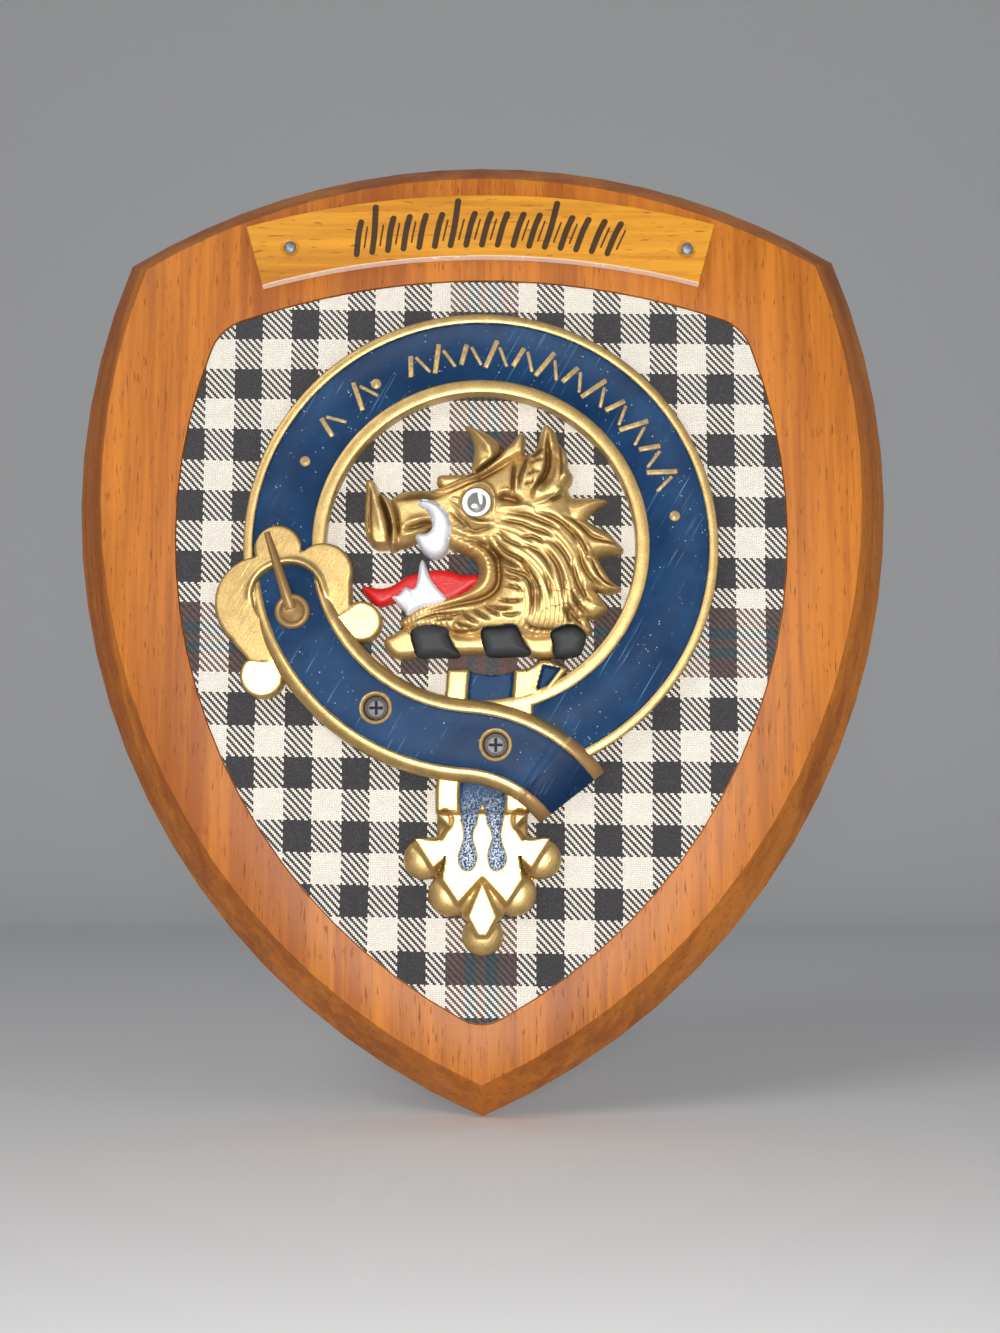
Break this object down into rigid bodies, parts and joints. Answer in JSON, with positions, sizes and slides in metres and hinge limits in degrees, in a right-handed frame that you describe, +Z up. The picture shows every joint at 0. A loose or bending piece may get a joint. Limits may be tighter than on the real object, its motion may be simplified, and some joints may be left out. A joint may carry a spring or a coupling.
{
  "type": "wooden heraldic shield plaque",
  "caption": "Chamfered hardwood wall shield with a recessed tartan panel, a screwed-on belt and buckle moulding, a boar's head crest and a pinned oak name strip.",
  "frame": {"origin": "middle of the shield's flat back, at half its height, where it touches the wall", "axes": "+Z up to the crown of the shield, +Y out of its back into the wall, +X to the viewer's right; the carved front faces -Y"},
  "size_m": [0.2552, 0.0299, 0.3009],
  "materials": {
    "mahogany": "reddish hardwood, thin satin varnish, vertical grain",
    "oak": "golden oak, satin varnish on the face, bare sawn edges",
    "tartan": "woollen twill, black and off-white check with a brown and teal overcheck",
    "belt_blue": "dark blue paint on cast resin, lightly brushed and specked",
    "gilt": "gold paint on cast resin",
    "black_paint": "flat black paint on cast resin",
    "white_paint": "white paint on cast resin",
    "red_paint": "bright red paint on cast resin",
    "steel": "dull plated steel"
  },
  "bodies": {
    "root": {"shield_board": "mahogany", "tartan_cloth": "tartan", "belt_and_buckle": "belt_blue", "boar_head_crest": "gilt", "screw_left": "steel", "screw_right": "steel", "name_plate": "oak", "plate_pin_left": "steel", "plate_pin_right": "steel"}
  },
  "joints": []
}
